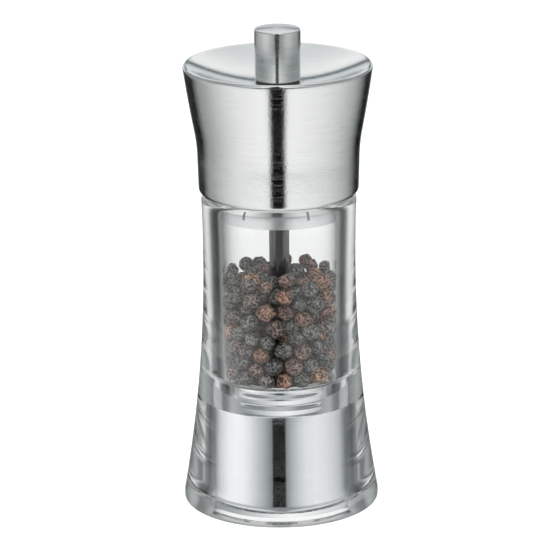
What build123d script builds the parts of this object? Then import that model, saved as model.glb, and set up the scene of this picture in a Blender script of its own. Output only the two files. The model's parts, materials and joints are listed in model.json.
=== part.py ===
from build123d import *
import math
import os

import numpy as np

# Pepper mill, standing on its base.
# Millimetres, +Z up, origin at the centre of the base, front towards -Y.
# Every joint turns about Z or slides along Z.

# Clear body
BODY_HEIGHT = 91.9
BASE_RADIUS = 28.2
FOOT_HEIGHT = 2.4
FOOT_ROUND = 0.9
CHAMBER_RADIUS = 16.8
WAIST_WALL = 5.1
WAIST_HEIGHT = 74.0
BODY_TOP_ROUND = 2.0
CHAMBER_ROUND = 1.6
MOUTH_BEVEL = 0.5
WEB_THICKNESS = 6.5
POCKET_DEPTH = 31.0
THROAT_RADIUS = 13.0

# Chrome sleeve, a cup upside down with a neck that lines the feed throat
SLEEVE_RADIUS = 20.45
SLEEVE_WALL = 0.6
SLEEVE_LIFT = 0.8

# Grinder housing
FEED_RADIUS = 11.0
FLANGE_THICKNESS = 2.4
BARREL_WALL = 1.6
BRIDGE_THICKNESS = 3.0
BRIDGE_HUB_RADIUS = 5.4
SPOKE_WIDTH = 3.0
SPOKE_COUNT = 3

# Grinder
OUTLET_DEPTH = 7.0
PLATE_THICKNESS = 1.5
STATOR_RADIUS = 13.0
STATOR_HEIGHT = 10.0
STATOR_NECK = 6.0
STATOR_GROOVES = 16
STATOR_GROOVE_DEPTH = 0.7
ROTOR_BOTTOM_RADIUS = 9.4
ROTOR_TOP_RADIUS = 6.4
ROTOR_HEIGHT = 10.0
ROTOR_DROP = 1.3
ROTOR_GROOVES = 12
ROTOR_GROOVE_DEPTH = 1.0
ROTOR_GROOVE_SKEW = 24.0
GRIND_GAP = 0.3
OUTLET_GAP = 1.6

# Spring and thrust washer
SPRING_LENGTH = 5.5
SPRING_WIRE = 0.8
SPRING_MEAN_RADIUS = 4.3
SPRING_TURNS = 3.0
THRUST_WASHER_THICKNESS = 0.8
THRUST_WASHER_RADIUS = 5.6

# Drive shaft
SHAFT_FLATS = 5.7
SHAFT_SIDES = 8
THREAD_RADIUS = 2.5
THREAD_PITCH = 0.8
THREAD_DEPTH = 0.45
THREAD_LENGTH = 11.4
SHAFT_END_GAP = 0.2
BUSH_WALL = 0.9
BUSH_FLANGE_WIDTH = 0.8
BUSH_FLANGE_THICKNESS = 0.6
CLIP_GAP = 2.0
CLIP_THICKNESS = 0.6
CLIP_RADIUS = 4.8
CLIP_GROOVE_DEPTH = 0.35

# Screws and the rotor washer
ROTOR_WASHER_RADIUS = 4.5
ROTOR_WASHER_THICKNESS = 0.8
ROTOR_SCREW_RADIUS = 1.5
ROTOR_SCREW_LENGTH = 8.0
ROTOR_SCREW_HEAD_RADIUS = 2.8
ROTOR_SCREW_HEAD_HEIGHT = 1.8
PLATE_SCREW_RADIUS = 1.25
PLATE_SCREW_LENGTH = 9.0
PLATE_SCREW_HEAD_RADIUS = 2.3
PLATE_SCREW_COUNT = 3
SLOT_WIDTH = 0.6
SLOT_DEPTH = 0.6

# Glide ring and head
GLIDE_RING_HEIGHT = 0.35
HEAD_HEIGHT = 37.35
HEAD_WALL = 1.8
HEAD_OVERHANG = 1.0
HEAD_BOTTOM_ROUND = 1.6
HEAD_NECK_STEP = 0.25
HEAD_NECK_HEIGHT = 10.75
HEAD_BEND_STEP = 0.8
HEAD_BEND_HEIGHT = 18.15
HEAD_RIM_STEP = 3.0
HEAD_LIP = 0.9
DISH_DEPTH = 5.0
LAND_RADIUS = 7.2

# Core of the head
SPIGOT_LENGTH = 6.4
SPIGOT_WALL = 1.8
CORE_FLOOR = 1.6
CORE_SKIRT = 1.4
CORE_SKIRT_HEIGHT = 10.0
CORE_HUB_RADIUS = 6.5
CORE_RIB_WIDTH = 1.6
CORE_RIB_COUNT = 6
NOTCH_COUNT = 6
NOTCH_WIDTH = 0.7
NOTCH_HEIGHT = 1.8
NOTCH_DEPTH = 0.8
NOTCH_LIFT = 2.2
NOTCH_ANGLE = 27.0

# Knob
KNOB_RADIUS = 6.55
KNOB_HEIGHT = 15.0
KNOB_ROUND = 1.0
KNOB_FOOT_BEVEL = 0.3
KNOB_WASHER_THICKNESS = 0.4
KNOB_WASHER_STEP = 0.45
INSERT_RADIUS = 4.0
INSERT_LENGTH = 11.5
INSERT_RECESS = 0.3

# Peppercorns
CORN_SMALL = 4.1
CORN_LARGE = 5.5
FILL_HEIGHT = 33.0
FILL_RATIO = 0.54
SETTLE_ROUNDS = 240
SETTLE_STEP = 0.05
SETTLE_RATIO = 0.4

# Clearances
PRESS_GAP = 0.02
RUN_GAP = 0.06
SLIDE_GAP = 0.12
LOOSE_GAP = 0.25
CORN_GAP = 0.08

# Heights and radii that follow from the sizes above
WAIST_RADIUS = CHAMBER_RADIUS + WAIST_WALL
CHAMBER_FLOOR = POCKET_DEPTH + WEB_THICKNESS
FLARE_RISE = WAIST_HEIGHT - FOOT_HEIGHT
FLARE_STEP = BASE_RADIUS - WAIST_RADIUS
FLARE_RADIUS = (FLARE_RISE**2 + FLARE_STEP**2) / (2 * FLARE_STEP)
SLEEVE_BORE = SLEEVE_RADIUS - SLEEVE_WALL
SLEEVE_NECK_RADIUS = THROAT_RADIUS - PRESS_GAP
SLEEVE_NECK_BORE = SLEEVE_NECK_RADIUS - SLEEVE_WALL
HOUSING_TOP = POCKET_DEPTH - SLEEVE_WALL
HOUSING_RADIUS = SLEEVE_BORE - LOOSE_GAP
PLATE_TOP = OUTLET_DEPTH + PLATE_THICKNESS
STATOR_TOP = PLATE_TOP + STATOR_HEIGHT
ROTOR_BOTTOM = PLATE_TOP - ROTOR_DROP
ROTOR_TOP = ROTOR_BOTTOM + ROTOR_HEIGHT
ROTOR_SLOPE = (ROTOR_BOTTOM_RADIUS - ROTOR_TOP_RADIUS) / ROTOR_HEIGHT
ROTOR_TILT = math.degrees(math.atan(ROTOR_SLOPE))
WASHER_TOP = ROTOR_TOP + THRUST_WASHER_THICKNESS
BRIDGE_BOTTOM = WASHER_TOP + SPRING_LENGTH
BRIDGE_TOP = BRIDGE_BOTTOM + BRIDGE_THICKNESS
BUSH_TOP = BRIDGE_TOP + BUSH_FLANGE_THICKNESS
CLIP_BOTTOM = BUSH_TOP + CLIP_GAP
CLIP_TOP = CLIP_BOTTOM + CLIP_THICKNESS
SCREW_CIRCLE = (STATOR_RADIUS + HOUSING_RADIUS) / 2
SHAFT_CORNER = SHAFT_FLATS / 2 / math.cos(math.pi / SHAFT_SIDES)
BUSH_BORE = SHAFT_CORNER + RUN_GAP
BUSH_RADIUS = BUSH_BORE + BUSH_WALL
HEAD_BOTTOM = BODY_HEIGHT + GLIDE_RING_HEIGHT
HEAD_BOTTOM_RADIUS = WAIST_RADIUS + HEAD_OVERHANG
HEAD_NECK_RADIUS = HEAD_BOTTOM_RADIUS + HEAD_NECK_STEP
HEAD_BEND_RADIUS = HEAD_NECK_RADIUS + HEAD_BEND_STEP
HEAD_RIM_RADIUS = HEAD_BEND_RADIUS + HEAD_RIM_STEP
HEAD_BORE = HEAD_BOTTOM_RADIUS - HEAD_WALL
HEAD_TOP = HEAD_BOTTOM + HEAD_HEIGHT
LAND_TOP = HEAD_TOP - DISH_DEPTH
LAND_BOTTOM = LAND_TOP - HEAD_WALL
SPIGOT_BOTTOM = HEAD_BOTTOM - SPIGOT_LENGTH
SPIGOT_RADIUS = CHAMBER_RADIUS - LOOSE_GAP
KNOB_BOTTOM = LAND_TOP + KNOB_WASHER_THICKNESS
INSERT_BOTTOM = KNOB_BOTTOM + INSERT_RECESS
INSERT_TOP = INSERT_BOTTOM + INSERT_LENGTH
SHAFT_BOTTOM = ROTOR_BOTTOM + SHAFT_END_GAP
SHAFT_SHOULDER = LAND_TOP - 2 * LOOSE_GAP
CENTRE_HOLE = SHAFT_CORNER + LOOSE_GAP


def turned(outline):
    """Turn a closed outline of (radius, height) about the Z axis."""
    return revolve(Plane.XZ * make_face(outline), Axis.Z)


def turned_points(*points):
    """Turn a closed polygon of (radius, height) points about the Z axis."""
    return turned(Polyline(*points, close=True))


def tube(outer, inner, bottom, top):
    """A plain ring between two heights."""
    return turned_points((inner, bottom), (outer, bottom), (outer, top), (inner, top))


def rod(radius, bottom, top):
    """A plain cylinder on the axis between two heights."""
    return Pos(0, 0, bottom) * Cylinder(radius, top - bottom, align=(Align.CENTER, Align.CENTER, Align.MIN))


def many_sided(flats, bottom, top):
    """A bar with the section of the drive shaft, one flat towards the front."""
    section = RegularPolygon(flats / 2, SHAFT_SIDES, major_radius=False, rotation=180 / SHAFT_SIDES)
    return Pos(0, 0, bottom) * extrude(section, top - bottom)


def flare(height):
    """Outer radius of the clear body at a height, on the arc through foot and waist."""
    rise = height - WAIST_HEIGHT
    return WAIST_RADIUS + FLARE_RADIUS - math.sqrt(FLARE_RADIUS**2 - rise**2)


def quarter_round(start, end, centre):
    """The short arc from start to end about a centre."""
    radius = math.dist(start, centre)
    middle = ((start[0] + end[0]) / 2 - centre[0], (start[1] + end[1]) / 2 - centre[1])
    reach = radius / math.hypot(*middle)
    return ThreePointArc(start, (centre[0] + middle[0] * reach, centre[1] + middle[1] * reach), end)


def clear_body():
    top = BODY_HEIGHT - BODY_TOP_ROUND
    top_radius = flare(top)
    pocket = SLEEVE_RADIUS + LOOSE_GAP / 2
    foot_end = (BASE_RADIUS - FOOT_ROUND, 0)
    foot_side = (BASE_RADIUS, FOOT_ROUND)
    floor_end = (CHAMBER_RADIUS - CHAMBER_ROUND, CHAMBER_FLOOR)
    wall_end = (CHAMBER_RADIUS, CHAMBER_FLOOR + CHAMBER_ROUND)
    edge_side = (top_radius, top)
    edge_top = (top_radius - BODY_TOP_ROUND, BODY_HEIGHT)
    outline = Polyline((pocket, 0), foot_end)
    outline += quarter_round(foot_end, foot_side, (foot_end[0], foot_side[1]))
    outline += Line(foot_side, (BASE_RADIUS, FOOT_HEIGHT))
    outline += ThreePointArc((BASE_RADIUS, FOOT_HEIGHT), (WAIST_RADIUS, WAIST_HEIGHT), edge_side)
    outline += quarter_round(edge_side, edge_top, (edge_top[0], top))
    mouth = (CHAMBER_RADIUS + MOUTH_BEVEL, BODY_HEIGHT)
    lip = (CHAMBER_RADIUS, BODY_HEIGHT - MOUTH_BEVEL)
    outline += Polyline(edge_top, mouth, lip, wall_end)
    outline += quarter_round(wall_end, floor_end, (floor_end[0], wall_end[1]))
    throat = (THROAT_RADIUS, CHAMBER_FLOOR)
    outline += Polyline(floor_end, throat, (THROAT_RADIUS, POCKET_DEPTH), (pocket, POCKET_DEPTH), (pocket, 0))
    return turned(outline)


def chrome_sleeve():
    return turned_points(
        (SLEEVE_BORE, SLEEVE_LIFT),
        (SLEEVE_RADIUS, SLEEVE_LIFT),
        (SLEEVE_RADIUS, POCKET_DEPTH),
        (SLEEVE_NECK_RADIUS, POCKET_DEPTH),
        (SLEEVE_NECK_RADIUS, CHAMBER_FLOOR),
        (SLEEVE_NECK_BORE, CHAMBER_FLOOR),
        (SLEEVE_NECK_BORE, HOUSING_TOP),
        (SLEEVE_BORE, HOUSING_TOP),
    )


def screw_places():
    """Places of the plate screws, one of them at the back."""
    return PolarLocations(SCREW_CIRCLE, PLATE_SCREW_COUNT, start_angle=90)


def grinder_housing():
    barrel = STATOR_RADIUS + BARREL_WALL
    boss = HOUSING_RADIUS - SCREW_CIRCLE - LOOSE_GAP
    flange_bottom = HOUSING_TOP - FLANGE_THICKNESS
    body = rod(barrel, PLATE_TOP, flange_bottom)
    body += rod(HOUSING_RADIUS, flange_bottom, HOUSING_TOP)
    body += rod(SLEEVE_NECK_BORE - PRESS_GAP, HOUSING_TOP, CHAMBER_FLOOR)
    for place in screw_places():
        body += place * rod(boss, PLATE_TOP, flange_bottom)
    body -= rod(STATOR_RADIUS + PRESS_GAP, PLATE_TOP, STATOR_TOP)
    body -= rod(FEED_RADIUS, STATOR_TOP, CHAMBER_FLOOR)
    hub = rod(BRIDGE_HUB_RADIUS, BRIDGE_BOTTOM, BRIDGE_TOP)
    spoke_length = FEED_RADIUS + BARREL_WALL
    spoke = Box(spoke_length, SPOKE_WIDTH, BRIDGE_THICKNESS, align=(Align.MIN, Align.CENTER, Align.MIN))
    for place in PolarLocations(0, SPOKE_COUNT, start_angle=30):
        hub += place * Pos(0, 0, BRIDGE_BOTTOM) * spoke
    body += hub
    body -= rod(BUSH_RADIUS + PRESS_GAP, BRIDGE_BOTTOM, BRIDGE_TOP)
    for place in screw_places():
        hole_end = OUTLET_DEPTH + PLATE_SCREW_LENGTH + LOOSE_GAP
        body -= place * rod(PLATE_SCREW_RADIUS + PRESS_GAP, PLATE_TOP, hole_end)
    return body


def shaft_bush():
    flange = BUSH_RADIUS + BUSH_FLANGE_WIDTH
    barrel = tube(BUSH_RADIUS, BUSH_BORE, BRIDGE_BOTTOM, BRIDGE_TOP)
    return barrel + tube(flange, BUSH_BORE, BRIDGE_TOP, BUSH_TOP)


def shaft_clip():
    seat = SHAFT_FLATS / 2 - CLIP_GROOVE_DEPTH + PRESS_GAP
    ring = tube(CLIP_RADIUS, seat, CLIP_BOTTOM, CLIP_TOP)
    mouth = Box(CLIP_RADIUS * 2, seat * 1.5, CLIP_THICKNESS, align=(Align.MIN, Align.CENTER, Align.MIN))
    return ring - Pos(0, 0, CLIP_BOTTOM) * mouth


def rotor_radius(height):
    """Outer radius of the rotor cone at a height."""
    return ROTOR_BOTTOM_RADIUS - (height - ROTOR_BOTTOM) * ROTOR_SLOPE


def groove_bar(side, length, radius, height, skew):
    """A square bar on edge, laid along the grinding cone at a height."""
    lay = Pos(radius, 0, height) * Rot(0, -ROTOR_TILT, 0) * Rot(skew, 0, 0) * Rot(0, 0, 45)
    return lay * Box(side, side, length)


def grinder_rotor():
    body = turned_points(
        (0, ROTOR_BOTTOM),
        (ROTOR_BOTTOM_RADIUS, ROTOR_BOTTOM),
        (ROTOR_TOP_RADIUS, ROTOR_TOP),
        (0, ROTOR_TOP),
    )
    middle = ROTOR_BOTTOM + ROTOR_HEIGHT / 2
    side = ROTOR_GROOVE_DEPTH * math.sqrt(2)
    bar = groove_bar(side, ROTOR_HEIGHT * 2, rotor_radius(middle), middle, ROTOR_GROOVE_SKEW)
    for place in PolarLocations(0, ROTOR_GROOVES):
        body -= place * bar
    return body - many_sided(SHAFT_FLATS + 2 * RUN_GAP, ROTOR_BOTTOM, ROTOR_TOP)


def grinder_stator():
    neck = PLATE_TOP + STATOR_NECK
    bottom_bore = rotor_radius(PLATE_TOP) + GRIND_GAP
    neck_bore = rotor_radius(neck) + GRIND_GAP
    body = turned_points(
        (bottom_bore, PLATE_TOP),
        (STATOR_RADIUS, PLATE_TOP),
        (STATOR_RADIUS, STATOR_TOP),
        (FEED_RADIUS, STATOR_TOP),
        (neck_bore, neck),
    )
    middle = PLATE_TOP + STATOR_NECK / 2
    side = STATOR_GROOVE_DEPTH * math.sqrt(2)
    bar = groove_bar(side, STATOR_HEIGHT * 2, rotor_radius(middle) + GRIND_GAP, middle, 0)
    for place in PolarLocations(0, STATOR_GROOVES):
        body -= place * bar
    return body


def thrust_washer():
    return tube(THRUST_WASHER_RADIUS, BUSH_BORE, ROTOR_TOP, WASHER_TOP)


def spring_point(turn, bottom, rise):
    """Point and direction of the spring's centre line after a number of turns."""
    angle = 2 * math.pi * turn
    across = SPRING_MEAN_RADIUS * math.cos(angle)
    deep = SPRING_MEAN_RADIUS * math.sin(angle)
    place = Vector(across, deep, bottom + rise * turn)
    speed = 2 * math.pi * SPRING_MEAN_RADIUS
    along = Vector(-speed * math.sin(angle), speed * math.cos(angle), rise)
    return place, along.normalized()


def two_arcs(start, start_way, end, end_way):
    """Two arcs that join two points smoothly, with a given direction at each."""
    span = end - start
    ways = start_way + end_way
    square = ways.dot(ways) - 4
    cross = span.dot(ways)
    reach = (cross - math.sqrt(cross**2 - square * span.dot(span))) / square
    if reach < 0:
        reach = (cross + math.sqrt(cross**2 - square * span.dot(span))) / square
    first = start + start_way * reach
    last = end - end_way * reach
    joint = (first + last) * 0.5
    return [TangentArc(start, joint, tangent=start_way), TangentArc(joint, end, tangent=last - first)]


def grinder_spring():
    bottom = WASHER_TOP + SPRING_WIRE / 2
    rise = (SPRING_LENGTH - SPRING_WIRE) / SPRING_TURNS
    quarters = max(4, round(4 * SPRING_TURNS))
    stops = [spring_point(SPRING_TURNS * i / quarters, bottom, rise) for i in range(quarters + 1)]
    edges = []
    for (start, start_way), (end, end_way) in zip(stops[:-1], stops[1:]):
        edges += two_arcs(start, start_way, end, end_way)
    path = Wire(edges)
    section = Plane(origin=stops[0][0], z_dir=stops[0][1]) * Circle(SPRING_WIRE / 2)
    line = [spring_point(SPRING_TURNS * i / 600, bottom, rise)[0] for i in range(601)]
    points = np.array([(p.X, p.Y, p.Z) for p in line])
    apart = np.linalg.norm(points[:, None] - points[None], axis=2)
    turn_apart = np.abs(np.arange(601)[:, None] - np.arange(601)[None]) * SPRING_TURNS / 600
    print("spring self gap", round(float(apart[turn_apart > 0.5].min()) - SPRING_WIRE, 3))
    return sweep(section, path)


def retaining_plate():
    opening = ROTOR_BOTTOM_RADIUS + OUTLET_GAP
    plate = tube(HOUSING_RADIUS, opening, OUTLET_DEPTH, PLATE_TOP)
    for place in screw_places():
        plate -= place * plate_screw_shape(PRESS_GAP)
    return plate


def plate_screw_shape(gap):
    """A countersunk screw on the axis, grown by a gap all round."""
    head = PLATE_SCREW_HEAD_RADIUS + gap
    shank = PLATE_SCREW_RADIUS + gap
    countersink = OUTLET_DEPTH + head - shank
    return turned_points(
        (0, OUTLET_DEPTH),
        (head, OUTLET_DEPTH),
        (shank, countersink),
        (shank, OUTLET_DEPTH + PLATE_SCREW_LENGTH),
        (0, OUTLET_DEPTH + PLATE_SCREW_LENGTH),
    )


def plate_screws():
    screw = plate_screw_shape(0)
    for turn in (0, 90):
        slot = Box(PLATE_SCREW_HEAD_RADIUS * 1.2, SLOT_WIDTH, SLOT_DEPTH * 2)
        screw -= Pos(0, 0, OUTLET_DEPTH) * Rot(0, 0, turn) * slot
    return [place * screw for place in screw_places()]


def rotor_washer():
    hole = ROTOR_SCREW_RADIUS + RUN_GAP
    return tube(ROTOR_WASHER_RADIUS, hole, ROTOR_BOTTOM - ROTOR_WASHER_THICKNESS, ROTOR_BOTTOM)


def rotor_screw():
    head_top = ROTOR_BOTTOM - ROTOR_WASHER_THICKNESS
    head_bottom = head_top - ROTOR_SCREW_HEAD_HEIGHT
    screw = rod(ROTOR_SCREW_HEAD_RADIUS, head_bottom, head_top)
    screw = chamfer(screw.edges().sort_by(Axis.Z)[0], ROTOR_SCREW_HEAD_HEIGHT / 4)
    screw += rod(ROTOR_SCREW_RADIUS, head_top, head_top + ROTOR_SCREW_LENGTH)
    for turn in (0, 90):
        slot = Box(ROTOR_SCREW_HEAD_RADIUS * 1.2, SLOT_WIDTH, SLOT_DEPTH * 2)
        screw -= Pos(0, 0, head_bottom) * Rot(0, 0, turn) * slot
    return screw


def drive_shaft():
    body = many_sided(SHAFT_FLATS, SHAFT_BOTTOM, SHAFT_SHOULDER)
    groove = SHAFT_FLATS / 2 - CLIP_GROOVE_DEPTH
    body -= tube(SHAFT_FLATS, groove, CLIP_BOTTOM, CLIP_TOP)
    screw_end = ROTOR_BOTTOM - ROTOR_WASHER_THICKNESS + ROTOR_SCREW_LENGTH
    body -= rod(ROTOR_SCREW_RADIUS + PRESS_GAP, SHAFT_BOTTOM, screw_end + LOOSE_GAP)
    root = THREAD_RADIUS - THREAD_DEPTH
    ridges = int(THREAD_LENGTH / THREAD_PITCH) - 1
    points = [(0, SHAFT_SHOULDER), (root, SHAFT_SHOULDER)]
    for ridge in range(ridges):
        foot = SHAFT_SHOULDER + (ridge + 0.5) * THREAD_PITCH
        points += [(root, foot), (THREAD_RADIUS, foot + THREAD_PITCH * 0.4)]
        points += [(THREAD_RADIUS, foot + THREAD_PITCH * 0.6)]
    end = SHAFT_SHOULDER + THREAD_LENGTH
    points += [(root, SHAFT_SHOULDER + (ridges + 0.5) * THREAD_PITCH), (root, end), (0, end)]
    return body + turned_points(*points)


def glide_ring():
    outer = flare(BODY_HEIGHT - BODY_TOP_ROUND) - BODY_TOP_ROUND
    inner = CHAMBER_RADIUS + MOUTH_BEVEL
    return tube(outer, inner, BODY_HEIGHT, HEAD_BOTTOM)


def dish_middle(edge, land):
    """A point half way along the dish, whose arc has its centre on the axis."""
    centre = (edge[0]**2 + edge[1]**2 - land[0]**2 - land[1]**2) / (2 * (edge[1] - land[1]))
    radius = math.hypot(land[0], land[1] - centre)
    halfway = (edge[0] + land[0]) / 2
    return halfway, centre - math.sqrt(radius**2 - halfway**2)


def head_shell():
    foot_end = (HEAD_BOTTOM_RADIUS - HEAD_BOTTOM_ROUND, HEAD_BOTTOM)
    foot_side = (HEAD_BOTTOM_RADIUS, HEAD_BOTTOM + HEAD_BOTTOM_ROUND)
    neck = (HEAD_NECK_RADIUS, HEAD_BOTTOM + HEAD_NECK_HEIGHT)
    bend = (HEAD_BEND_RADIUS, HEAD_BOTTOM + HEAD_BEND_HEIGHT)
    rim = (HEAD_RIM_RADIUS, HEAD_TOP - HEAD_LIP)
    crest = (HEAD_RIM_RADIUS - HEAD_LIP, HEAD_TOP)
    land = (LAND_RADIUS, LAND_TOP)
    neck_line = Line(foot_side, neck)
    bend_arc = TangentArc(neck, bend, tangent=neck_line % 1)
    flare_arc = TangentArc(bend, rim, tangent=bend_arc % 1)
    outline = Polyline((0, LAND_TOP), (0, HEAD_BOTTOM), foot_end)
    outline += quarter_round(foot_end, foot_side, (foot_end[0], foot_side[1]))
    outline += neck_line
    outline += bend_arc
    outline += flare_arc
    outline += quarter_round(rim, crest, (crest[0], rim[1]))
    outline += ThreePointArc(crest, dish_middle(crest, land), land)
    outline += Line(land, (0, LAND_TOP))
    inner_neck = (HEAD_BORE, neck[1])
    inner_rim = (crest[0] - HEAD_WALL, HEAD_TOP - 2 * HEAD_WALL)
    inner_land = (LAND_RADIUS, LAND_BOTTOM)
    hollow = Polyline((0, LAND_BOTTOM), (0, HEAD_BOTTOM), (HEAD_BORE, HEAD_BOTTOM), inner_neck, inner_rim)
    hollow += ThreePointArc(inner_rim, dish_middle(inner_rim, inner_land), inner_land)
    hollow += Line(inner_land, (0, LAND_BOTTOM))
    return turned(outline) - turned(hollow) - rod(CENTRE_HOLE, LAND_BOTTOM, LAND_TOP)


def head_core():
    skirt = HEAD_BORE - PRESS_GAP
    skirt_top = HEAD_BOTTOM + CORE_SKIRT_HEIGHT
    flange_top = HEAD_BOTTOM + CORE_FLOOR
    spigot_bore = SPIGOT_RADIUS - SPIGOT_WALL
    body = tube(SPIGOT_RADIUS, spigot_bore, SPIGOT_BOTTOM, flange_top)
    body += rod(SPIGOT_RADIUS, SPIGOT_BOTTOM, SPIGOT_BOTTOM + CORE_FLOOR)
    body += tube(skirt, spigot_bore, HEAD_BOTTOM, flange_top)
    body += tube(skirt, skirt - CORE_SKIRT, HEAD_BOTTOM, skirt_top)
    body += rod(CORE_HUB_RADIUS, SPIGOT_BOTTOM, LAND_BOTTOM)
    rib_length = skirt - CORE_SKIRT / 2
    rib = Box(rib_length, CORE_RIB_WIDTH, CORE_SKIRT_HEIGHT, align=(Align.MIN, Align.CENTER, Align.MIN))
    for place in PolarLocations(0, CORE_RIB_COUNT):
        body += place * Pos(0, 0, HEAD_BOTTOM) * rib
    notch = Box(NOTCH_DEPTH * 2, NOTCH_WIDTH, NOTCH_HEIGHT, align=(Align.CENTER, Align.CENTER, Align.MIN))
    for place in PolarLocations(SPIGOT_RADIUS, NOTCH_COUNT, start_angle=NOTCH_ANGLE - 90):
        body -= place * Pos(0, 0, SPIGOT_BOTTOM + NOTCH_LIFT) * notch
    return body - many_sided(SHAFT_FLATS + 2 * SLIDE_GAP, SPIGOT_BOTTOM, LAND_BOTTOM)


def knob_washer():
    return tube(KNOB_RADIUS - KNOB_WASHER_STEP, CENTRE_HOLE, LAND_TOP, KNOB_BOTTOM)


def adjusting_knob():
    top = KNOB_BOTTOM + KNOB_HEIGHT
    shoulder = (KNOB_RADIUS, top - KNOB_ROUND)
    face = (KNOB_RADIUS - KNOB_ROUND, top)
    outline = Polyline(
        (0, top),
        (0, KNOB_BOTTOM),
        (KNOB_RADIUS - KNOB_FOOT_BEVEL, KNOB_BOTTOM),
        (KNOB_RADIUS, KNOB_BOTTOM + KNOB_FOOT_BEVEL),
        shoulder,
    )
    outline += quarter_round(shoulder, face, (face[0], shoulder[1]))
    outline += Line(face, (0, top))
    return turned(outline) - rod(INSERT_RADIUS + PRESS_GAP, KNOB_BOTTOM, INSERT_TOP)


def knob_insert():
    return tube(INSERT_RADIUS, THREAD_RADIUS + RUN_GAP, INSERT_BOTTOM, INSERT_TOP)


def corn_walls():
    """Rings of (inner radius, outer radius, bottom, top) that bound the peppercorns and their level."""
    far = 10 * BASE_RADIUS
    return [
        (CHAMBER_RADIUS, far, CHAMBER_FLOOR, far),
        (FEED_RADIUS, far, -far, CHAMBER_FLOOR),
        (0, SHAFT_CORNER, -far, far),
        (0, max(CLIP_RADIUS, BUSH_RADIUS + BUSH_FLANGE_WIDTH), -far, CLIP_TOP),
        (0, far, -far, BRIDGE_TOP),
        (0, far, CHAMBER_FLOOR + FILL_HEIGHT, far),
    ]


def wall_gaps(places, wall):
    """Distance of each place to a ring, with the direction away from it."""
    radius = np.hypot(places[:, 0], places[:, 1]) + 1e-9
    out = radius - np.clip(radius, wall[0], wall[1])
    up = places[:, 2] - np.clip(places[:, 2], wall[2], wall[3])
    gap = np.hypot(out, up) + 1e-9
    away = np.column_stack([places[:, 0] / radius * out, places[:, 1] / radius * out, up]) / gap[:, None]
    return gap, away


def settled_corns():
    """Centres and radii of peppercorns that fill the feed throat and the chamber to a level."""
    rng = np.random.default_rng(11)
    throat = (FEED_RADIUS**2 - CLIP_RADIUS**2) * (CHAMBER_FLOOR - BRIDGE_TOP)
    chamber = (CHAMBER_RADIUS**2 - SHAFT_CORNER**2) * FILL_HEIGHT
    mean = (CORN_SMALL + CORN_LARGE) / 2
    count = int(FILL_RATIO * (throat + chamber) * 6 / mean**3)
    radii = rng.uniform(CORN_SMALL / 2, CORN_LARGE / 2, count)
    low = np.arange(count) < count * throat / (throat + chamber)
    heights = np.where(
        low,
        rng.uniform(BRIDGE_TOP, CHAMBER_FLOOR, count),
        rng.uniform(CHAMBER_FLOOR, CHAMBER_FLOOR + FILL_HEIGHT, count),
    )
    reach = np.where(low, FEED_RADIUS, CHAMBER_RADIUS) - CORN_SMALL / 2
    spread = np.sqrt(rng.uniform((SHAFT_CORNER + CORN_SMALL / 2) ** 2, reach**2))
    turn = rng.uniform(0, 2 * math.pi, count)
    places = np.column_stack([spread * np.cos(turn), spread * np.sin(turn), heights])
    sums = radii[:, None] + radii[None] + CORN_GAP
    np.fill_diagonal(sums, 0)
    for step in range(SETTLE_ROUNDS):
        places[:, 2] -= SETTLE_STEP * (1 - step / SETTLE_ROUNDS) ** 2
        apart = places[:, None] - places[None]
        length = np.linalg.norm(apart, axis=2) + 1e-9
        push = np.clip(sums - length, 0, None) / length * SETTLE_RATIO
        places += (apart * push[:, :, None]).sum(axis=1)
        for wall in corn_walls():
            gap, away = wall_gaps(places, wall)
            places += away * np.clip(radii + CORN_GAP - gap, 0, None)[:, None]
    apart = np.linalg.norm(places[:, None] - places[None], axis=2)
    np.fill_diagonal(apart, np.inf)
    share = (apart - CORN_GAP) / (sums - CORN_GAP + np.eye(count))
    radii = radii * np.minimum(1, share.min(axis=1))
    for wall in corn_walls():
        radii = np.minimum(radii, wall_gaps(places, wall)[0] - CORN_GAP)
    keep = radii > CORN_SMALL / 4
    return places[keep], radii[keep]


def peppercorns():
    places, radii = settled_corns()
    print("peppercorns", len(radii), "top", round(float((places[:, 2] + radii).max()), 2))
    print("corn radius", np.round([radii.min(), radii.mean(), radii.max()], 3))
    return [Pos(*map(float, place)) * Sphere(float(radius)) for place, radius in zip(places, radii)]


PARTS = [
    clear_body,
    chrome_sleeve,
    grinder_housing,
    shaft_bush,
    shaft_clip,
    grinder_spring,
    thrust_washer,
    grinder_rotor,
    grinder_stator,
    retaining_plate,
    plate_screws,
    rotor_washer,
    rotor_screw,
    drive_shaft,
    glide_ring,
    head_shell,
    head_core,
    knob_washer,
    adjusting_knob,
    knob_insert,
    peppercorns,
]

os.makedirs("parts", exist_ok=True)
for make in PARTS:
    shape = make()
    if isinstance(shape, list):
        shape = Compound(children=shape)
    export_step(shape, f"parts/{make.__name__}.step")
    box = shape.bounding_box()
    print(make.__name__, "z", round(box.min.Z, 2), round(box.max.Z, 2), "width", round(box.size.X, 2))
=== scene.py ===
# %% [markdown]
# # A pepper mill with a clear body
# The mill is a stack of turned pieces on one upright axis: a steel head with a knob, a thick clear
# body with peppercorns in it, and a bright sleeve that hides the grinder. The CAD frame gives every
# piece its place. This lesson dresses the frame: it swaps the pieces that catch the eye for finer
# turned surfaces, gives every piece a finish, and sets up a small studio around it.

import json
import math

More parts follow.
